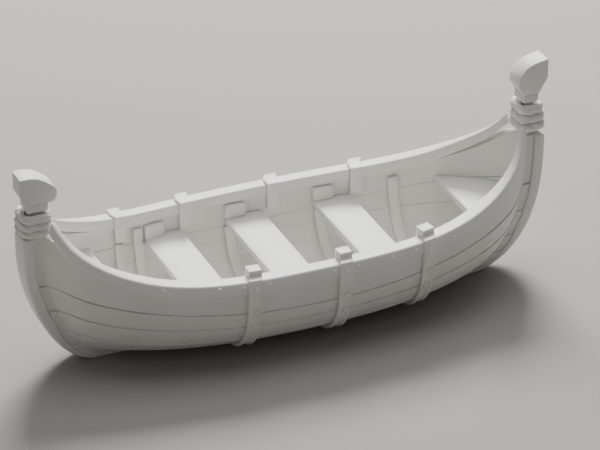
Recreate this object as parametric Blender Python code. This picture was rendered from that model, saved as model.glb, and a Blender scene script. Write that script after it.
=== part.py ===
"""A tabletop miniature of a double-ended viking rowboat, in metres, +Z up.

X runs along the boat towards the taller bow post, Y to port, and the origin is at
the bottom centre, on the surface that the keel and the strap irons stand on.
"""

import math

import bmesh
import bpy
from mathutils import Vector

MM = 0.001

# Driving sizes
HALF_LENGTH = 75.3 * MM
GAP = 0.12 * MM
BOARD_GAP = 0.25 * MM
HULL_STATIONS = 44

# Gunwale rail: its outer top edge in plan and its sheer
RAIL_HALF_BEAM = 26.2 * MM
RAIL_PLAN_LENGTH = 69.8 * MM
RAIL_PLAN_POWER = 2.6
RAIL_PLAN_ROUND = 0.55
SHEER_MID = 26.65 * MM
SHEER_LIFT = 1.4 * MM
SHEER_LIFT_AT = 40.0 * MM
SHEER_LIFT_POWER = 4.2
HORN_LIFT = 5.0 * MM
HORN_AT = 69.0 * MM
HORN_POWER = 31
RAIL_END = 68.5 * MM
RAIL_WIDTH = 4.2 * MM
RAIL_END_WIDTH = 2.0 * MM
RAIL_TAPER_AT = 50.0 * MM
RAIL_DEPTH = 3.05 * MM
RAIL_LEAN = 0.4 * MM
RAIL_PROUD = 0.9 * MM

# Planking
PLANK_THICKNESS = 3.0 * MM
BOTTOM_THICKNESS = 2.4 * MM
PLANK_LIP = 0.3 * MM
BILGE_POWER = 2.75
STRAKE_FACETS = 3

# Seams between the strakes, as fractions of the turn from the sheer to the keel
SEAMS = (0.0, 0.146, 0.273, 0.46, 0.683, 1.0)
SEAM_HALF_GAP = 0.003

# Keel and stems: a wide outer bar and a narrow inner apron between the planks
KEEL_HALF_WIDTH = 3.0 * MM
STEM_HALF_WIDTH = 3.7 * MM
STEM_FACE = {"stern": HALF_LENGTH, "bow": HALF_LENGTH - 0.5 * MM}
APRON_HALF_WIDTH = 1.3 * MM
KEEL_DEPTH = 1.0 * MM
RABBET = 2.9 * MM
RABBET_FULL_AT = 12.0 * MM
APRON_DEPTH = 3.6 * MM
KEEL_END = {"stern": 56.3 * MM, "bow": 50.0 * MM}
STEM_SPRING = {"stern": 33.0 * MM, "bow": 36.0 * MM}
POST_FOOT = 40.0 * MM
PLANK_TOP_END = 39.8 * MM
PLANK_BOTTOM = KEEL_DEPTH + GAP
PLANK_END_GAP = 0.2 * MM
PLANK_REACH = {end: face - RABBET - PLANK_END_GAP for end, face in STEM_FACE.items()}

BONE = (0.80, 0.80, 0.76, 1.0)
IVORY = (0.82, 0.82, 0.79, 1.0)

SIDES = {"port": 1.0, "starboard": -1.0}
ENDS = {"stern": -1.0, "bow": 1.0}

# Roundness of each stem's forefoot, and how quickly the hull fines down towards it
FOREFOOT_POWER = {"stern": 1.8, "bow": 2.4}
FINENESS = {"stern": 0.35, "bow": 0.75}

# Posts above the stems: depth along X, distance in from the boat's end, height of the top
POST_DEPTH = {"stern": 5.7 * MM, "bow": 4.6 * MM}
POST_SET_BACK = {"stern": 1.7 * MM, "bow": 2.5 * MM}
POST_TOP = {"stern": 49.4 * MM, "bow": 52.2 * MM}
POST_HALF_WIDTH = 2.9 * MM
FINIAL_HALF_WIDTH = 2.9 * MM

# Thwarts: middle of each along X
THWARTS = {"stern_thwart": -28.0 * MM, "middle_thwart": -3.8 * MM, "bow_thwart": 22.1 * MM}
THWART_WIDTH = 11.0 * MM
THWART_TOP = 19.4 * MM
THWART_THICKNESS = 1.6 * MM
KNEE_INSET = 0.2 * MM
KNEE_WIDTH = 5.6 * MM
KNEE_DEPTH = 1.3 * MM
KNEE_CLEAR = 0.5 * MM

# Frames, by their middle along X and the height that their heads reach
FRAME_WIDTH = 2.6 * MM
FRAME_DEPTH = 1.1 * MM
RAIL_UNDERSIDE = SHEER_MID - RAIL_DEPTH - 0.4 * MM
THWART_UNDERSIDE = THWART_TOP - THWART_THICKNESS - FRAME_DEPTH
TAB_FOOT = SHEER_MID - 6.2 * MM
FRAMES = (
    (-41.5 * MM, TAB_FOOT),
    (-35.6 * MM, RAIL_UNDERSIDE),
    (-8.3 * MM, THWART_UNDERSIDE),
    (18.2 * MM, THWART_UNDERSIDE),
    (39.4 * MM, RAIL_UNDERSIDE),
)

# End decks
DECK_INNER_END = 50.8 * MM
DECK_OUTER_END = 66.0 * MM
DECK_TOP = 22.7 * MM
DECK_THICKNESS = 1.8 * MM

# Strap irons over the rail: name, side and middle along X
STRAPS = (
    ("aft", "port", -41.2 * MM),
    ("stern", "port", -20.4 * MM),
    ("middle", "port", 6.1 * MM),
    ("bow", "port", 30.8 * MM),
    ("stern", "starboard", -20.1 * MM),
    ("middle", "starboard", 5.6 * MM),
    ("bow", "starboard", 30.6 * MM),
)
STRAP_WIDTH = 3.5 * MM
STRAP_THICKNESS = 0.6 * MM
STRAP_BEAD = 0.35 * MM
STRAP_BEAD_WIDTH = 0.6 * MM
SADDLE_HEIGHT = {"port": 0.6 * MM, "starboard": 2.2 * MM}
SADDLE_SHIFT = {"port": -1.0 * MM, "starboard": 0.8 * MM}
SADDLE_REACH = 2.3 * MM
TAB_LENGTH = 7.1 * MM
TAB_THICKNESS = 0.9 * MM

# Moulded rope round the waist of each post: for each turn, the height of its middle line and
# the place of that line, in from the boat's end, on the outer and the inner side of the post
ROPE_TURNS = {
    "stern": (
        (45.5 * MM, 0.9 * MM, 7.5 * MM),
        (43.4 * MM, 0.6 * MM, 7.7 * MM),
        (41.4 * MM, 0.6 * MM, 7.7 * MM),
    ),
    "bow": (
        (48.0 * MM, 1.8 * MM, 7.4 * MM),
        (45.4 * MM, 1.3 * MM, 7.6 * MM),
        (42.8 * MM, 1.1 * MM, 7.6 * MM),
    ),
}
ROPE_HALF_HEIGHT = {"stern": 1.25 * MM, "bow": 1.5 * MM}
ROPE_RADIUS = 1.1 * MM
ROPE_HALF_LOOP = 3.4 * MM
ROPE_BEND = 1.7 * MM
ROPE_CLEAR = 0.2 * MM
ROPE_TILT = 0.15 * MM


def material(name, colour, roughness):
    made = bpy.data.materials.new(name)
    made.use_nodes = True
    shader = made.node_tree.nodes["Principled BSDF"]
    shader.inputs["Base Color"].default_value = colour
    shader.inputs["Roughness"].default_value = roughness
    shader.inputs["Metallic"].default_value = 0.0
    return made


def lofted(name, rings, colour=IVORY, smooth=25.0):
    """One closed solid through rings of equal point counts, with a face over each end."""
    mesh = bmesh.new()
    rows = [[mesh.verts.new(point) for point in ring] for ring in rings]
    count = len(rows[0])
    for row, following in zip(rows, rows[1:]):
        for i in range(count):
            j = (i + 1) % count
            mesh.faces.new((row[i], row[j], following[j], following[i]))
    mesh.faces.new(rows[0])
    mesh.faces.new(rows[-1])
    bmesh.ops.triangulate(mesh, faces=mesh.faces[:])
    bmesh.ops.recalc_face_normals(mesh, faces=mesh.faces[:])
    return finished(name, mesh, colour, smooth)


def finished(name, mesh, colour, smooth=25.0):
    data = bpy.data.meshes.new(name)
    mesh.to_mesh(data)
    mesh.free()
    data.shade_smooth()
    data.set_sharp_from_angle(angle=math.radians(smooth))
    data.materials.append(material(name + "_resin", colour, 0.55))
    made = bpy.data.objects.new(name, data)
    bpy.context.scene.collection.objects.link(made)
    return made


def mix(a, b, t):
    return a + (b - a) * t


def rail_beam(x):
    """Half-breadth of the rail's outer top edge."""
    along = min(abs(x) / RAIL_PLAN_LENGTH, 1.0)
    return RAIL_HALF_BEAM * (1 - along**RAIL_PLAN_POWER) ** RAIL_PLAN_ROUND


def rail_height(x):
    """Height of the rail's top, which rises slowly and then turns up into the horn."""
    rise = SHEER_LIFT * (abs(x) / SHEER_LIFT_AT) ** SHEER_LIFT_POWER
    return SHEER_MID + rise + HORN_LIFT * (abs(x) / HORN_AT) ** HORN_POWER


def rabbet_depth(height):
    """Depth of the outer bar that shows outside the planks, less at the keel."""
    return mix(KEEL_DEPTH, RABBET, min(height / RABBET_FULL_AT, 1.0))


def stem_path(end):
    """Points down the stem's outer face, with the slope of the way inward at each."""
    power, spring, keel_end = FOREFOOT_POWER[end], STEM_SPRING[end], KEEL_END[end]
    reach = STEM_FACE[end] - keel_end
    path = [(STEM_FACE[end], POST_FOOT - GAP, 0.0)]
    turns = 18
    for i in range(turns + 1):
        angle = math.pi / 2 * i / turns
        along, down = math.cos(angle) ** (2 / power), math.sin(angle) ** (2 / power)
        slope = math.atan2(down ** (power - 1) / spring, along ** (power - 1) / reach)
        path.append((keel_end + reach * along, spring * (1 - down), slope))
    return path


def rabbet_line(end):
    """The line of the planks' ends on the stem, from the keel up, as X and height."""
    line = []
    for x, z, slope in stem_path(end)[::-1]:
        deep = rabbet_depth(z) + PLANK_END_GAP
        line.append((x - deep * math.cos(slope), z + deep * math.sin(slope)))
    return line


def plank_end(end, height):
    """Distance along X of the planks' ends on the stem, at a height."""
    line = RABBET_LINES[end]
    for (low_x, low_z), (high_x, high_z) in zip(line, line[1:]):
        if height <= high_z:
            return mix(low_x, high_x, max(height - low_z, 0.0) / (high_z - low_z))
    return line[-1][0]


RABBET_LINES = {end: rabbet_line(end) for end in ENDS}


def section(v, half_beam, top, bottom, foot):
    """Half-breadth and height round the midship section, from the sheer to the keel."""
    angle = v * math.pi / 2
    across = math.cos(angle) ** (2 / BILGE_POWER)
    down = math.sin(angle) ** (2 / BILGE_POWER)
    return mix(foot, half_beam, across), mix(top, bottom, down)


def hull_point(end, u, v, inside):
    """A point on the planking: u from midship to the stem, v from the sheer to the keel,
    inside from the outer face to the inner one."""
    end_height = mix(PLANK_BOTTOM, PLANK_TOP_END, (1 - v) ** (3.4 - 2.2 * v))
    x = u * plank_end(end, end_height)
    sheer_x = u * PLANK_REACH[end]
    top_mid = SHEER_MID - RAIL_DEPTH - GAP
    top_here = min(rail_height(sheer_x) - RAIL_DEPTH - GAP, PLANK_TOP_END)
    rise = (top_here - top_mid) / (PLANK_TOP_END - top_mid)
    foot = KEEL_HALF_WIDTH - 0.1 * MM
    beam_mid = RAIL_HALF_BEAM - RAIL_PROUD
    beam_here = max(rail_beam(sheer_x) - RAIL_PROUD, foot)
    fullness = (beam_here - foot) / (beam_mid - foot)
    outer_y, outer_z = section(v, beam_mid, top_mid, PLANK_BOTTOM, foot)
    inner_y, inner_z = section(
        v,
        beam_mid - PLANK_THICKNESS,
        top_mid,
        PLANK_BOTTOM + BOTTOM_THICKNESS,
        APRON_HALF_WIDTH + GAP,
    )
    fine = 1 + FINENESS[end] * v**2
    early = 1 - 0.55 * min(v / SEAMS[1], 1.0) ** 0.8
    outer = Vector(
        (
            x,
            mix(foot, outer_y, fullness**fine),
            mix(outer_z, max(end_height, outer_z), rise**early),
        )
    )
    inner = Vector(
        (
            x,
            mix(APRON_HALF_WIDTH + GAP, inner_y, fullness**fine),
            mix(inner_z, max(end_height, inner_z), rise**early),
        )
    )
    return outer.lerp(inner, inside)


def end_of(position):
    return "bow" if position > 0 else "stern"


def hull_at(position, v, inside, side):
    """The planking's point at a signed fraction of the boat's length, on one side."""
    end = end_of(position)
    point = hull_point(end, abs(position), v, inside)
    return Vector((point.x * ENDS[end], point.y * SIDES[side], point.z))


def hull_at_x(x, v, inside, side):
    """The planking's point at a station along X."""
    low, high = 0.0, 1.0
    for _ in range(30):
        middle = (low + high) / 2
        if abs(hull_at(math.copysign(middle, x), v, inside, side).x) < abs(x):
            low = middle
        else:
            high = middle
    return hull_at(math.copysign(low, x), v, inside, side)


def stations():
    """Signed fractions of the length, closer together towards the stems."""
    for i in range(HULL_STATIONS + 1):
        along = 2 * i / HULL_STATIONS - 1
        yield math.sin(along * math.pi / 2) * 0.35 + along * 0.65


def outward(position, v, side):
    outer = hull_at(position, v, 0.0, side)
    inner = hull_at(position, v, 1.0, side)
    return (outer - inner).normalized()


def make_strakes():
    last = len(SEAMS) - 2
    for side in SIDES:
        for number, (upper, lower) in enumerate(zip(SEAMS, SEAMS[1:])):
            top = upper + (SEAM_HALF_GAP if number else 0.0)
            foot = lower - (SEAM_HALF_GAP if number < last else 0.0)
            rings = []
            for position in stations():
                outer, inner = [], []
                for facet in range(STRAKE_FACETS + 1):
                    along = facet / STRAKE_FACETS
                    v = mix(top, foot, along)
                    lip = PLANK_LIP * (along if number < last else 0.0)
                    face = hull_at(position, v, 0.0, side)
                    outer.append(face - outward(position, v, side) * lip)
                    inner.append(hull_at(position, v, 1.0, side))
                rings.append(outer + inner[::-1])
            lofted(f"strake_{side}_{number + 1}", rings, BONE)


def rail_frame(x, side):
    """The rail's outer top edge, with its inboard and downward directions there."""
    step = 0.2 * MM
    narrowing = rail_beam(x + step) - rail_beam(x - step)
    inboard = Vector((narrowing, -2 * step * SIDES[side], 0)).normalized()
    edge = Vector((x, rail_beam(x) * SIDES[side], rail_height(x)))
    return edge, inboard, Vector((0, 0, -1))


def make_rails():
    bevel = 0.35 * MM
    for side in SIDES:
        rings = []
        lengthwise = [position * PLANK_REACH[end_of(position)] for position in stations()]
        lengthwise = [x for x in lengthwise if abs(x) < RAIL_END]
        for x in [-RAIL_END] + lengthwise + [RAIL_END]:
            edge, inboard, down = rail_frame(x, side)
            closing = max(0.0, (abs(x) - RAIL_TAPER_AT) / (RAIL_END - RAIL_TAPER_AT))
            width = mix(RAIL_WIDTH, RAIL_END_WIDTH, closing)
            corners = (
                (RAIL_LEAN + bevel, 0),
                (width, 0),
                (width, RAIL_DEPTH),
                (0, RAIL_DEPTH),
                (RAIL_LEAN, bevel),
            )
            rings.append([edge + inboard * across + down * deep for across, deep in corners])
        lofted(f"gunwale_{side}", rings)


def make_stems():
    chamfer = 0.45 * MM
    narrowing = KEEL_HALF_WIDTH / STEM_HALF_WIDTH
    for end, sign in ENDS.items():
        rings = []
        for x, z, slope in stem_path(end):
            width = mix(narrowing, 1.0, min(z / STEM_SPRING[end], 1.0))
            half = STEM_HALF_WIDTH * width
            shallow = rabbet_depth(z)
            apron = APRON_DEPTH + shallow - KEEL_DEPTH
            corners = (
                (0.0, chamfer - half),
                (chamfer, -half),
                (shallow, -half),
                (shallow, -APRON_HALF_WIDTH),
                (apron, -APRON_HALF_WIDTH),
            )
            ring = []
            for deep, across in corners + tuple((d, -a) for d, a in corners[::-1]):
                inward = Vector((-math.cos(slope) * sign, 0, math.sin(slope)))
                ring.append(Vector((sign * x, across, z)) + inward * deep)
            rings.append(ring)
        lofted(f"{end}_stem", rings)


def make_keel():
    chamfer = 0.45 * MM
    outline = [
        (chamfer - KEEL_HALF_WIDTH, 0),
        (-KEEL_HALF_WIDTH, chamfer),
        (-KEEL_HALF_WIDTH, KEEL_DEPTH),
        (-APRON_HALF_WIDTH, KEEL_DEPTH),
        (-APRON_HALF_WIDTH, APRON_DEPTH),
    ]
    outline += [(-y, z) for y, z in outline[::-1]]
    rings = []
    for end, sign in ENDS.items():
        rings.append([Vector((sign * (KEEL_END[end] - GAP), y, z)) for y, z in outline])
    lofted("keel", rings)


def make_posts():
    """The post on each stem's head: a waist that the lashing fills, and the neck over it."""
    for end, sign in ENDS.items():
        outer = HALF_LENGTH - POST_SET_BACK[end]
        neck = (outer, outer - POST_DEPTH[end], POST_HALF_WIDTH)
        inside_rope = ROPE_RADIUS + ROPE_CLEAR
        front = HALF_LENGTH - max(out for _, out, _ in ROPE_TURNS[end]) - inside_rope
        back = HALF_LENGTH - min(back for _, _, back in ROPE_TURNS[end]) + inside_rope
        waist = (front, back, ROPE_HALF_LOOP - inside_rope)
        rope_top = ROPE_TURNS[end][0][0] + ROPE_HALF_HEIGHT[end] + ROPE_TILT + ROPE_CLEAR
        rings = []
        for z, (front, back, half) in (
            (POST_FOOT, waist),
            (rope_top, waist),
            (rope_top + 0.3 * MM, neck),
            (POST_TOP[end], neck),
        ):
            chamfer = half / 8
            plan = (
                (front, -half + chamfer),
                (front - chamfer, -half),
                (back + chamfer, -half),
                (back, -half + chamfer),
            )
            plan += tuple((x, -y) for x, y in plan[::-1])
            rings.append([Vector((sign * x, y, z)) for x, y in plan])
        lofted(f"{end}_post", rings)


def finial_outline(end):
    """The finial's side outline, as distance in from the boat's end and height over the neck:
    a square outer face, a crowned top that slopes inward and a round inner knob."""
    shapes = {
        "stern": {
            "face": (2.7, 7.7),
            "crown": ((2.4, 7.8), (4.8, 7.3), (6.9, 6.1)),
            "knob": (7.0, 2.4, 2.85),
            "arc": (58.0, -50.0),
        },
        "bow": {
            "face": (4.3, 9.7),
            "crown": ((2.2, 9.4), (4.4, 8.85), (6.3, 7.9)),
            "knob": (4.7, 3.8, 3.9),
            "arc": (48.0, -52.0),
        },
    }
    shape = shapes[end]
    centre_in, centre_up, radius = shape["knob"]
    outline = [(0.0, up) for up in shape["face"]] + list(shape["crown"])
    turns = 7
    for i in range(turns + 1):
        angle = math.radians(mix(*shape["arc"], i / turns))
        outline.append(
            (centre_in + radius * math.cos(angle), centre_up + radius * math.sin(angle))
        )
    seat_out = POST_SET_BACK[end]
    seat = [(seat_out + POST_DEPTH[end], 0.0), (seat_out, 0.0)]
    return [(deep * MM, up * MM) for deep, up in outline] + seat


def make_finials():
    for end, sign in ENDS.items():
        outline = finial_outline(end)
        rings = []
        for across in (-FINIAL_HALF_WIDTH, FINIAL_HALF_WIDTH):
            rings.append(
                [
                    Vector((sign * (HALF_LENGTH - deep), across, POST_TOP[end] + GAP + up))
                    for deep, up in outline
                ]
            )
        lofted(f"{end}_finial", rings)


def girth_at(x, height):
    """Fraction of the turn from sheer to keel where the inside reaches a height."""
    low, high = 0.0, 1.0
    for _ in range(30):
        middle = (low + high) / 2
        if hull_at_x(x, middle, 1.0, "port").z > height:
            low = middle
        else:
            high = middle
    return low


def inner_beam(x, height):
    """Half-breadth of the inside of the planking at a station and height."""
    return hull_at_x(x, girth_at(x, height), 1.0, "port").y


def slab(name, ends_x, top, thickness, steps):
    """A flat board across the boat, cut to the inside of the planking at both edges."""
    bottom = top - thickness
    rings = []
    for i in range(steps + 1):
        x = mix(ends_x[0], ends_x[1], i / steps)
        above = inner_beam(x, top) - BOARD_GAP
        below = inner_beam(x, bottom) - BOARD_GAP
        rings.append(
            [
                Vector((x, -above, top)),
                Vector((x, above, top)),
                Vector((x, below, bottom)),
                Vector((x, -below, bottom)),
            ]
        )
    return lofted(name, rings)


def make_boards():
    for name, middle in THWARTS.items():
        edges = (middle - THWART_WIDTH / 2, middle + THWART_WIDTH / 2)
        slab(name, edges, THWART_TOP, THWART_THICKNESS, 4)
    for end, sign in ENDS.items():
        edges = (sign * DECK_INNER_END, sign * DECK_OUTER_END)
        slab(f"{end}_deck", edges, DECK_TOP, DECK_THICKNESS, 6)


def make_frames():
    """Bent frames that line the hull from rail to rail over the keel's apron."""
    steps = 9
    for number, (x, head) in enumerate(FRAMES):
        rings = []
        start = girth_at(x, head)
        path = [("port", mix(start, 1.0, i / steps)) for i in range(steps + 1)]
        path += [("starboard", v) for _, v in path[::-1]]
        for side, v in path:
            ring = []
            for edge, deep in ((-0.5, 0), (0.5, 0), (0.5, 1), (-0.5, 1)):
                at = x + edge * FRAME_WIDTH
                face = hull_at_x(at, v, 1.0, side)
                outer = hull_at_x(at, v, 0.0, side)
                inboard = (face - outer).normalized()
                ring.append(face + inboard * (BOARD_GAP + deep * FRAME_DEPTH))
            rings.append(ring)
        lofted(f"frame_{number + 1}", rings)


def make_knees():
    """A standing knee on each end of each thwart, under the rail."""
    for name, middle in THWARTS.items():
        for side, sign in SIDES.items():
            rings = []
            aft_edge = middle - THWART_WIDTH / 2
            for x in (aft_edge + KNEE_INSET, aft_edge + KNEE_INSET + KNEE_WIDTH):
                low = THWART_TOP + GAP
                high = SHEER_MID - RAIL_DEPTH - KNEE_CLEAR
                foot = inner_beam(x, low) - BOARD_GAP
                head = inner_beam(x, high) - BOARD_GAP
                outline = (
                    (foot, low),
                    (foot - KNEE_DEPTH, low),
                    (head - KNEE_DEPTH, high),
                    (head, high),
                )
                rings.append([Vector((x, sign * y, z)) for y, z in outline])
            lofted(f"{name}_knee_{side}", rings)


def strap_line(x, side):
    """Seat and outer face of a strap iron down the boat's side, as pairs of points: the inner
    tab, the raised saddle over the rail, and the strip that follows the planks to the keel."""
    edge, inboard, down = rail_frame(x, side)
    shifted_edge, inward, _ = rail_frame(x + SADDLE_SHIFT[side], side)
    inner = shifted_edge + inward * (RAIL_WIDTH + GAP)
    high = SADDLE_HEIGHT[side]
    pairs = []
    for deep in (TAB_LENGTH, 0.0):
        seat = inner + down * deep
        pairs.append((seat, seat + inward * TAB_THICKNESS))
    corner = inner - down * GAP
    pairs.append((corner, corner + inward * TAB_THICKNESS - down * high))
    step_in = inner - inward * (SADDLE_REACH + GAP) - down * GAP
    pairs.append((step_in, step_in - down * high))
    pairs.append((step_in - inboard * 0.15 * MM, step_in - down * STRAP_THICKNESS))
    lip = edge + inboard * (RAIL_LEAN - GAP) - down * GAP
    pairs.append((lip, lip - inboard * STRAP_THICKNESS - down * STRAP_THICKNESS))
    foot = edge - inboard * GAP + down * (RAIL_DEPTH + GAP)
    under = foot - inboard * STRAP_THICKNESS
    pairs.append((foot, under))
    pairs.append((hull_at_x(x, 0.0, 0.0, side) + down * 0.3 * MM, under + down * 0.5 * MM))
    return pairs


def make_straps():
    half = STRAP_WIDTH / 2
    bead_in = half - STRAP_BEAD_WIDTH
    profile = (
        (-half, 0.0, 0.0),
        (-half, 1.0, STRAP_BEAD),
        (-bead_in, 1.0, STRAP_BEAD),
        (-bead_in, 1.0, 0.0),
        (bead_in, 1.0, 0.0),
        (bead_in, 1.0, STRAP_BEAD),
        (half, 1.0, STRAP_BEAD),
        (half, 0.0, 0.0),
    )
    steps = 14
    for name, side, x in STRAPS:
        columns = []
        for across, out, bead in profile:
            at = x + across
            column = []
            for seat, face in strap_line(at, side):
                column.append(seat.lerp(face, out))
            for i in range(1, steps + 1):
                v = 0.06 + 0.92 * i / steps
                outer = hull_at_x(at, v, 0.0, side)
                inner = hull_at_x(at, v, 1.0, side)
                away = (outer - inner).normalized()
                column.append(outer + away * (GAP + out * STRAP_THICKNESS + bead))
            columns.append(column)
        rings = [list(ring) for ring in zip(*columns)]
        lofted(f"strap_{name}_{side}", rings)


def rope_turn(name, path, half_height):
    """One closed turn of rope, with an oval section taller than it is deep."""
    sides = 8
    mesh = bmesh.new()
    rows = []
    count = len(path)
    for i, point in enumerate(path):
        forward = (path[(i + 1) % count] - path[i - 1]).normalized()
        out = forward.cross(Vector((0, 0, 1))).normalized()
        over = out.cross(forward)
        row = []
        for k in range(sides):
            angle = 2 * math.pi * k / sides
            deep = out * math.cos(angle) * ROPE_RADIUS
            tall = over * math.sin(angle) * half_height
            row.append(mesh.verts.new(point + deep + tall))
        rows.append(row)
    for row, following in zip(rows, rows[1:] + rows[:1]):
        for k in range(sides):
            m = (k + 1) % sides
            mesh.faces.new((row[k], row[m], following[m], following[k]))
    bmesh.ops.recalc_face_normals(mesh, faces=mesh.faces[:])
    return finished(name, mesh, BONE, 60.0)


def loop_path(end, turn, tilt):
    """A rounded square in plan round the waist, higher or lower at the outer end."""
    height, out, back = turn
    half_long = (back - out) / 2
    centre = HALF_LENGTH - (out + back) / 2
    steps = 4
    path = []
    for corner in range(4):
        middle = math.radians(90 * corner + 45)
        for step in range(steps + 1):
            angle = math.radians(90 * (corner + step / steps))
            along = math.copysign(half_long - ROPE_BEND, math.cos(middle))
            across = math.copysign(ROPE_HALF_LOOP - ROPE_BEND, math.sin(middle))
            along += ROPE_BEND * math.cos(angle)
            across += ROPE_BEND * math.sin(angle)
            rise = tilt * along / half_long
            place = (ENDS[end] * (centre + along), across, height + rise)
            path.append(Vector(place))
    return path


def make_lashings():
    """The turns of each lashing, joined into one solid."""
    for end in ENDS:
        made = []
        for turn, tilt in zip(ROPE_TURNS[end], (ROPE_TILT, -ROPE_TILT, 0.0)):
            name = f"{end}_lashing_turn_{len(made)}" if made else f"{end}_lashing"
            path = loop_path(end, turn, tilt)
            made.append(rope_turn(name, path, ROPE_HALF_HEIGHT[end]))
        for extra in made[1:]:
            extra.hide_render = True
            extra.display_type = "WIRE"
            join = made[0].modifiers.new("join", "BOOLEAN")
            join.operation = "UNION"
            join.object = extra


def main():
    for old in list(bpy.data.objects):
        bpy.data.objects.remove(old)
    make_keel()
    make_stems()
    make_posts()
    make_finials()
    make_strakes()
    make_rails()
    make_boards()
    make_frames()
    make_knees()
    make_straps()
    make_lashings()


main()
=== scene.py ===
"""Looks of the viking rowboat: a small cast resin miniature, ivory white, seen from its side.

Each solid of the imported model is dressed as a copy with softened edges, the planks get carved
grain, the straps get rivets, and the posts get twisted rope. Metres, +Z up, bow towards +X.
"""

import math

import bpy
from mathutils import Euler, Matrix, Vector, noise


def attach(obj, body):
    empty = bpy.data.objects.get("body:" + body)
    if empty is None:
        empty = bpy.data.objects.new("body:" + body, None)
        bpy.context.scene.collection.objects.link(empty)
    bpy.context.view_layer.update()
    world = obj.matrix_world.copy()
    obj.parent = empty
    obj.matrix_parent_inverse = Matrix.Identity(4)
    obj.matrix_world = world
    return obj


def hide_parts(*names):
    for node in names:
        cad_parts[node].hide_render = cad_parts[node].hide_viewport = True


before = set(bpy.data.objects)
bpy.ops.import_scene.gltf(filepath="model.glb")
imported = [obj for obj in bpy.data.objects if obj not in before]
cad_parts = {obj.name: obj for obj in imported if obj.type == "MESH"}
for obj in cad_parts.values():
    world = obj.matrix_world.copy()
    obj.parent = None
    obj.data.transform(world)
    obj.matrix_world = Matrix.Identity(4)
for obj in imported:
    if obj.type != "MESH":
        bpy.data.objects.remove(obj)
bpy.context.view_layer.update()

MM = 0.001
ENDS = {"stern": -1, "bow": 1}
SIDES = {"port": 1, "starboard": -1}

# Camera at the photograph's angle; the photograph is 600 x 450
CAMERA_PLACE = (-0.3220142, -0.7492889, 0.4829231)
CAMERA_AZIMUTH = -23.4966
CAMERA_ELEVATION = 29.2467
CAMERA_LENS = 210.0


def linear(code):
    """The linear colour of an sRGB hex value."""
    channels = []
    for i in (0, 2, 4):
        value = int(code[i : i + 2], 16) / 255
        channels.append(value / 12.92 if value <= 0.04045 else ((value + 0.055) / 1.055) ** 2.4)
    return (*channels, 1.0)


def node(tree, kind, settings=None, inputs=None):
    """Adds a node with its settings, and sets or links its inputs."""
    new = tree.nodes.new(kind)
    for name, value in (settings or {}).items():
        setattr(new, name, value)
    for name, value in (inputs or {}).items():
        if isinstance(value, bpy.types.NodeSocket):
            tree.links.new(value, new.inputs[name])
        else:
            new.inputs[name].default_value = value
    return new


def select_only(piece):
    """Makes one object the only selected one, and the active one."""
    if bpy.context.mode != "OBJECT":
        bpy.ops.object.mode_set(mode="OBJECT")
    bpy.ops.object.select_all(action="DESELECT")
    piece.select_set(True)
    bpy.context.view_layer.objects.active = piece


def dressed(name, edge, swell=0.0, segments=2):
    """A copy of a solid in its place, with its doubles merged, grown a little to close the
    joints of the casting, and its sharp edges rounded."""
    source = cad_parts[name]
    piece = source.copy()
    piece.data = source.data.copy()
    piece.parent = None
    for key in list(piece.keys()):
        del piece[key]
    bpy.context.scene.collection.objects.link(piece)
    piece.name = "soft_" + name
    select_only(piece)
    bpy.ops.object.mode_set(mode="EDIT")
    bpy.ops.mesh.select_all(action="SELECT")
    bpy.ops.mesh.remove_doubles(threshold=0.002 * MM)
    bpy.ops.mesh.tris_convert_to_quads(
        face_threshold=math.radians(25), shape_threshold=math.radians(60)
    )
    bpy.ops.mesh.select_all(action="SELECT")
    bpy.ops.mesh.normals_make_consistent(inside=False)
    if swell:
        bpy.ops.transform.shrink_fatten(value=swell, use_even_offset=True)
    bpy.ops.object.mode_set(mode="OBJECT")
    if edge:
        bpy.ops.object.modifier_add(type="BEVEL")
        bevel = piece.modifiers[-1]
        bevel.width = edge
        bevel.segments = segments
        bevel.limit_method = "ANGLE"
        bevel.angle_limit = math.radians(30)
        bevel.use_clamp_overlap = True
        bpy.ops.object.modifier_apply(modifier=bevel.name)
    bpy.ops.object.shade_smooth_by_angle(angle=math.radians(50))
    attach(piece, "root")
    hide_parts(name)
    return piece


def rail_height(x):
    """Height of the rail's top along the boat, as the model has it."""
    return 26.65 * MM + 1.4 * MM * (abs(x) / (40 * MM)) ** 4.2


def carve_plank(piece, side):
    """Rounds a plank and cuts shallow wood grain along its outer face, fading to the bottom."""
    select_only(piece)
    bpy.ops.object.modifier_add(type="SUBSURF")
    piece.modifiers[-1].levels = 2
    piece.modifiers[-1].render_levels = 2
    bpy.ops.object.modifier_apply(modifier=piece.modifiers[-1].name)
    normals = [vertex.normal.copy() for vertex in piece.data.vertices]
    places = [vertex.co.copy() for vertex in piece.data.vertices]
    for place, normal in zip(places, normals):
        girth = place.z / rail_height(place.x)
        if normal.y * SIDES[side] < 0.3 or girth < GRAIN_FADES[0]:
            continue
        fade = min((girth - GRAIN_FADES[0]) / (GRAIN_FADES[1] - GRAIN_FADES[0]), 1.0)
        spot = Vector((place.x / GRAIN_LENGTH, girth * GRAIN_LINES, 5.0 * SIDES[side]))
        wave = noise.noise(spot) + 0.4 * noise.noise(spot * 2.3 + Vector((7.0, 3.0, 1.0)))
        rings = abs((wave * GRAIN_RINGS) % 1.0 - 0.5) * 2
        groove = max(0.0, (rings - 0.55) / 0.45)
        place -= normal * GRAIN_DEPTH * fade * groove
    flat = [value for place in places for value in place]
    piece.data.vertices.foreach_set("co", flat)
    piece.data.update()


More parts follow.
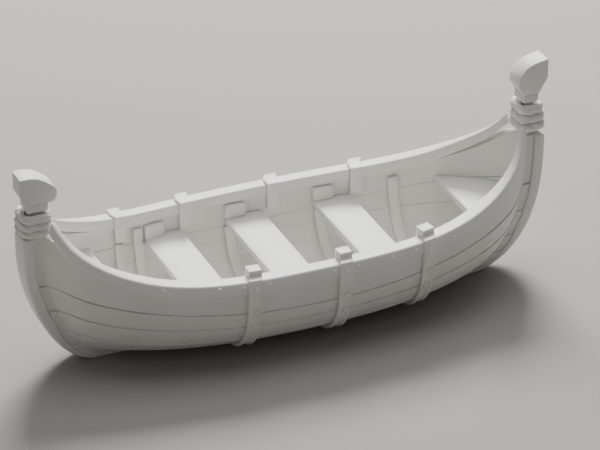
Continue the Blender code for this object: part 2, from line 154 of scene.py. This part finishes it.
def resin(name, light, dark, roughness, bump, blotch=9.0):
    """Cast resin: a pale body colour that drifts a little, and a faint satin skin."""
    material = bpy.data.materials.new(name)
    material.use_nodes = True
    tree = material.node_tree
    shader = tree.nodes["Principled BSDF"]
    place = node(tree, "ShaderNodeTexCoord").outputs["Object"]
    drift = node(
        tree,
        "ShaderNodeTexNoise",
        inputs={"Vector": place, "Scale": 1 / (blotch * MM), "Detail": 3.0},
    ).outputs["Fac"]
    tint = node(
        tree,
        "ShaderNodeMix",
        {"data_type": "RGBA"},
        {"Factor": drift, "A": linear(dark), "B": linear(light)},
    ).outputs["Result"]
    tree.links.new(tint, shader.inputs["Base Color"])
    speckle = node(
        tree,
        "ShaderNodeTexNoise",
        inputs={"Vector": place, "Scale": 1 / (0.6 * MM), "Detail": 2.0},
    ).outputs["Fac"]
    gloss = node(
        tree,
        "ShaderNodeMapRange",
        inputs={
            "Value": speckle,
            "To Min": roughness - 0.08,
            "To Max": roughness + 0.08,
        },
    ).outputs["Result"]
    tree.links.new(gloss, shader.inputs["Roughness"])
    skin = node(
        tree,
        "ShaderNodeBump",
        inputs={"Height": speckle, "Strength": 0.6, "Distance": bump},
    ).outputs["Normal"]
    tree.links.new(skin, shader.inputs["Normal"])
    shader.inputs["IOR"].default_value = 1.5
    shader.inputs["Subsurface Weight"].default_value = 0.25
    shader.inputs["Subsurface Radius"].default_value = (1.0, 0.85, 0.7)
    shader.inputs["Subsurface Scale"].default_value = 0.8 * MM
    return material


def finish_as(piece, material):
    """Gives a piece its material."""
    piece.data.materials.clear()
    piece.data.materials.append(material)


MATERIALS = {
    "planks": resin("cast_resin_planks", "f3f2ee", "e6e4dd", 0.55, 0.03 * MM),
    "rails": resin("cast_resin_rails", "f5f4f0", "ebe9e3", 0.5, 0.02 * MM),
    "strap_irons": resin("cast_resin_straps", "f5f4f0", "eae8e1", 0.48, 0.02 * MM),
    "rope": resin("cast_resin_rope", "f4f3ee", "e8e6df", 0.6, 0.03 * MM),
    "boards": resin("cast_resin_boards", "f5f5f1", "ebeae4", 0.55, 0.02 * MM),
    "frames": resin("cast_resin_frames", "f4f3ef", "e8e7e0", 0.55, 0.02 * MM),
    "stems": resin("cast_resin_stems", "f4f3ee", "e9e7e0", 0.52, 0.02 * MM),
}

# Which slot each solid belongs to, by a word of its name, with the radius of its soft edges
# and how far it swells to close the joints
SOFT_EDGES = (
    ("strake", "planks", 0.12 * MM, 0.1 * MM),
    ("gunwale", "rails", 0.5 * MM, 0.06 * MM),
    ("strap", "strap_irons", 0.18 * MM, 0.05 * MM),
    ("lashing", "rope", 0.0, 0.0),
    ("thwart_knee", "frames", 0.35 * MM, 0.12 * MM),
    ("thwart", "boards", 0.4 * MM, 0.1 * MM),
    ("deck", "boards", 0.4 * MM, 0.12 * MM),
    ("frame", "frames", 0.35 * MM, 0.08 * MM),
    ("finial", "stems", 0.45 * MM, 0.06 * MM),
    ("post", "stems", 0.25 * MM, 0.08 * MM),
    ("stem", "stems", 0.3 * MM, 0.05 * MM),
    ("keel", "stems", 0.3 * MM, 0.0),
)

# Carved grain of the planks: its depth, the length of a wave, the lines from keel to rail,
# the rings in a wave and the share of the height where it fades in
GRAIN_DEPTH = 0.16 * MM
GRAIN_LENGTH = 16.0 * MM
GRAIN_LINES = 11.0
GRAIN_RINGS = 2.6
GRAIN_FADES = (0.3, 0.6)

# Rope turns round each post, from the top: height, and distance in from the boat's end to the
# rope's middle line on the outer and on the inner side; then the rope's half-height
HALF_LENGTH = 75.3 * MM
ROPE_TURNS = {
    "stern": (
        (45.5 * MM, 0.9 * MM, 7.5 * MM),
        (43.4 * MM, 0.6 * MM, 7.7 * MM),
        (41.4 * MM, 0.6 * MM, 7.7 * MM),
    ),
    "bow": (
        (48.0 * MM, 1.8 * MM, 7.4 * MM),
        (45.4 * MM, 1.3 * MM, 7.6 * MM),
        (42.8 * MM, 1.1 * MM, 7.6 * MM),
    ),
}
ROPE_HALF_HEIGHT = {"stern": 1.25 * MM, "bow": 1.45 * MM}
ROPE_RADIUS = 1.05 * MM
ROPE_HALF_LOOP = 3.4 * MM
ROPE_BEND = 1.7 * MM
ROPE_STRANDS = 3
ROPE_LAY = 9.0 * MM

# Rivet heads by X and height: on the strap irons of both sides, and along the rails
STRAP_RIVETS = {
    "stern": ((-19.7, 24.9), (-19.5, 17.5), (-19.5, 12.6)),
    "middle": ((5.9, 24.7), (6.0, 17.4), (6.0, 12.1)),
    "bow": ((30.4, 25.1), (30.5, 18.0), (30.5, 12.7)),
}
AFT_RIVETS = ((-40.9, 26.5), (-40.9, 18.3), (-40.9, 13.6))
RAIL_RIVETS = (
    (-43.8, 27.4),
    (-29.5, 26.0),
    (-22.9, 25.4),
    (-16.0, 25.3),
    (2.2, 25.1),
    (9.4, 25.1),
    (19.1, 25.3),
    (26.5, 25.4),
    (38.3, 25.8),
)
STRAP_RIVET_RADIUS = 0.85 * MM
RAIL_RIVET_RADIUS = 0.65 * MM
RIVET_SQUASH = 0.62


def dress_solids():
    """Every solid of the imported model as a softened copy, by name."""
    dressed_pieces = {}
    for name in sorted(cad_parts):
        for word, slot, edge, swell in SOFT_EDGES:
            if word not in name:
                continue
            if word == "lashing":
                break
            piece = dressed(name, edge, swell)
            finish_as(piece, MATERIALS[slot])
            dressed_pieces[name] = piece
            break
    return dressed_pieces


def model_rivet():
    """One low domed rivet head of 1 mm radius, flat underneath a little below the face."""
    bpy.ops.object.select_all(action="DESELECT")
    bpy.ops.mesh.primitive_uv_sphere_add(segments=16, ring_count=10, radius=1.0 * MM)
    head = bpy.context.active_object
    head.name = "rivet_head"
    bpy.ops.object.mode_set(mode="EDIT")
    bpy.ops.mesh.select_all(action="SELECT")
    bpy.ops.mesh.bisect(
        plane_co=(0, 0, -0.25 * MM), plane_no=(0, 0, 1), use_fill=True, clear_inner=True
    )
    bpy.ops.mesh.select_all(action="SELECT")
    bpy.ops.transform.resize(value=(1, 1, RIVET_SQUASH))
    bpy.ops.object.mode_set(mode="OBJECT")
    bpy.ops.object.shade_smooth_by_angle(angle=math.radians(50))
    finish_as(head, MATERIALS["strap_irons"])
    return head


def rivet_spots(side):
    """The rivets of one side: the piece each sits on, its X and height, and its radius."""
    spots = [(f"gunwale_{side}", *spot, RAIL_RIVET_RADIUS) for spot in RAIL_RIVETS]
    for strap, row in STRAP_RIVETS.items():
        spots += [(f"strap_{strap}_{side}", *spot, STRAP_RIVET_RADIUS) for spot in row]
    if side == "port":
        spots += [("strap_aft_port", *spot, STRAP_RIVET_RADIUS) for spot in AFT_RIVETS]
    return spots


def set_rivets(head, carriers):
    """Copies of the rivet head on the strap irons and rails, joined into one piece a side."""
    for side, sign in SIDES.items():
        row = []
        for carrier, x, z, radius in rivet_spots(side):
            start = Vector((x * MM, sign * 60 * MM, z * MM))
            hit, place, out, _ = carriers[carrier].ray_cast(start, Vector((0, -sign, 0)))
            if not hit:
                continue
            copy = head.copy()
            copy.data = head.data.copy()
            copy.name = f"rivet_{side}_{len(row)}"
            copy.location = place
            copy.rotation_euler = out.to_track_quat("Z", "Y").to_euler()
            copy.scale = (radius / MM,) * 3
            bpy.context.scene.collection.objects.link(copy)
            row.append(copy)
        select_only(row[0])
        for copy in row[1:]:
            copy.select_set(True)
        bpy.ops.object.transform_apply(location=True, rotation=True, scale=True)
        bpy.ops.object.join()
        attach(bpy.context.active_object, "root")
    bpy.data.objects.remove(head)


def strand_profile():
    """A round section with a lobe for each strand of the rope."""
    curve = bpy.data.curves.new("rope_section", "CURVE")
    curve.dimensions = "2D"
    count = 24
    line = curve.splines.new("POLY")
    line.points.add(count - 1)
    line.use_cyclic_u = True
    for i, point in enumerate(line.points):
        angle = 2 * math.pi * i / count
        lobe = abs(math.cos(ROPE_STRANDS * angle / 2))
        radius = ROPE_RADIUS * (0.8 + 0.2 * lobe**0.6)
        point.co = (radius * math.cos(angle), radius * math.sin(angle), 0, 1)
    section = bpy.data.objects.new("rope_section", curve)
    bpy.context.scene.collection.objects.link(section)
    return section


def turn_points(end, turn):
    """The middle line of one turn, a rounded square in plan, in evenly laid points."""
    height, out, back = turn
    half_long = (back - out) / 2
    centre = HALF_LENGTH - (out + back) / 2
    steps = 8
    points = []
    for corner in range(4):
        middle = math.radians(90 * corner + 45)
        for step in range(steps + 1):
            angle = math.radians(90 * (corner + step / steps))
            along = math.copysign(half_long - ROPE_BEND, math.cos(middle))
            across = math.copysign(ROPE_HALF_LOOP - ROPE_BEND, math.sin(middle))
            along += ROPE_BEND * math.cos(angle)
            across += ROPE_BEND * math.sin(angle)
            points.append(Vector((ENDS[end] * (centre + along), across, height)))
    even = []
    for start, stop in zip(points, points[1:] + points[:1]):
        pieces_here = max(1, round((stop - start).length / (0.45 * MM)))
        even += [start.lerp(stop, i / pieces_here) for i in range(pieces_here)]
    return even


def rope_piece(name, points, cyclic, section, stretch=1.0):
    """A laid rope along points, twisted by its lay and drawn out in height, as a mesh."""
    curve = bpy.data.curves.new(name, "CURVE")
    curve.dimensions = "3D"
    curve.bevel_mode = "OBJECT"
    curve.bevel_object = section
    curve.use_fill_caps = not cyclic
    curve.twist_mode = "Z_UP"
    line = curve.splines.new("POLY")
    line.points.add(len(points) - 1)
    line.use_cyclic_u = cyclic
    closed = zip(points, points[1:] + points[:1]) if cyclic else zip(points, points[1:])
    lengths = [(b - a).length for a, b in closed]
    turns = round(sum(lengths) / ROPE_LAY * ROPE_STRANDS) / ROPE_STRANDS
    run = 0.0
    level = sum((p.z for p in points)) / len(points)
    for i, place in enumerate(points):
        line.points[i].co = (place.x, place.y, (place.z - level) / stretch, 1)
        line.points[i].tilt = 2 * math.pi * turns * run / sum(lengths)
        run += lengths[i] if i < len(lengths) else 0.0
    piece = bpy.data.objects.new(name, curve)
    bpy.context.scene.collection.objects.link(piece)
    select_only(piece)
    bpy.ops.object.convert(target="MESH")
    piece = bpy.context.active_object
    piece.scale = (1, 1, stretch)
    piece.location = (0, 0, level)
    bpy.ops.object.transform_apply(location=True, scale=True)
    return piece


def lay_ropes():
    """The twisted turns of each lashing, joined, in place of its plain solid."""
    section = strand_profile()
    for end in ENDS:
        turns = []
        for turn in ROPE_TURNS[end]:
            points = turn_points(end, turn)
            stretch = ROPE_HALF_HEIGHT[end] / ROPE_RADIUS
            name = f"rope_{end}_{len(turns)}"
            turns.append(rope_piece(name, points, True, section, stretch))
        select_only(turns[0])
        for turn in turns[1:]:
            turn.select_set(True)
        bpy.ops.object.join()
        lashing = bpy.context.active_object
        lashing.name = f"laid_rope_{end}"
        bpy.ops.object.mode_set(mode="EDIT")
        bpy.ops.mesh.select_all(action="SELECT")
        bpy.ops.mesh.remove_doubles(threshold=0.002 * MM)
        bpy.ops.mesh.normals_make_consistent(inside=False)
        bpy.ops.object.mode_set(mode="OBJECT")
        bpy.ops.object.shade_smooth_by_angle(angle=math.radians(80))
        finish_as(lashing, MATERIALS["rope"])
        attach(lashing, "root")
        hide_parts(f"{end}_lashing")
    bpy.data.objects.remove(section)


def lay_floor():
    """A plain pale floor under the keel."""
    bpy.ops.object.select_all(action="DESELECT")
    bpy.ops.mesh.primitive_plane_add(size=6.0, location=(0, 0, 0))
    floor = bpy.context.active_object
    floor.name = "floor"
    bpy.ops.object.transform_apply(location=True)
    material = bpy.data.materials.new("pale_matt_paper")
    material.use_nodes = True
    shader = material.node_tree.nodes["Principled BSDF"]
    shader.inputs["Base Color"].default_value = linear("a8a5a0")
    shader.inputs["Roughness"].default_value = 0.9
    floor.data.materials.append(material)


def hang_light(name, azimuth, elevation, distance, size, power):
    """A soft square lamp that looks at the boat."""
    turn, lift = math.radians(azimuth), math.radians(elevation)
    way = Vector(
        (math.sin(turn) * math.cos(lift), -math.cos(turn) * math.cos(lift), math.sin(lift))
    )
    bpy.ops.object.light_add(type="AREA", location=way * distance)
    lamp = bpy.context.active_object
    lamp.name = name
    lamp.data.shape = "SQUARE"
    lamp.data.size = size
    lamp.data.energy = power
    lamp.rotation_euler = way.to_track_quat("Z", "Y").to_euler()


def light_scene():
    world = bpy.data.worlds.new("soft_studio")
    bpy.context.scene.world = world
    world.use_nodes = True
    background = world.node_tree.nodes["Background"]
    background.inputs["Color"].default_value = linear("dfe2e6")
    background.inputs["Strength"].default_value = 0.2
    hang_light("key", 155.0, 45.0, 0.9, 0.35, 15.0)
    hang_light("top", 160.0, 82.0, 0.9, 0.6, 3.0)


def place_camera():
    bpy.ops.object.camera_add(location=CAMERA_PLACE)
    camera = bpy.context.active_object
    camera.name = "camera"
    camera.rotation_euler = Euler(
        (math.radians(90 - CAMERA_ELEVATION), 0, math.radians(CAMERA_AZIMUTH)), "XYZ"
    )
    camera.data.lens = CAMERA_LENS
    camera.data.sensor_width = 36.0
    bpy.context.scene.camera = camera


place_camera()
light_scene()
lay_floor()
pieces = dress_solids()
set_rivets(model_rivet(), pieces)
lay_ropes()
for name, piece in pieces.items():
    if name.startswith("strake"):
        carve_plank(piece, name.split("_")[1])
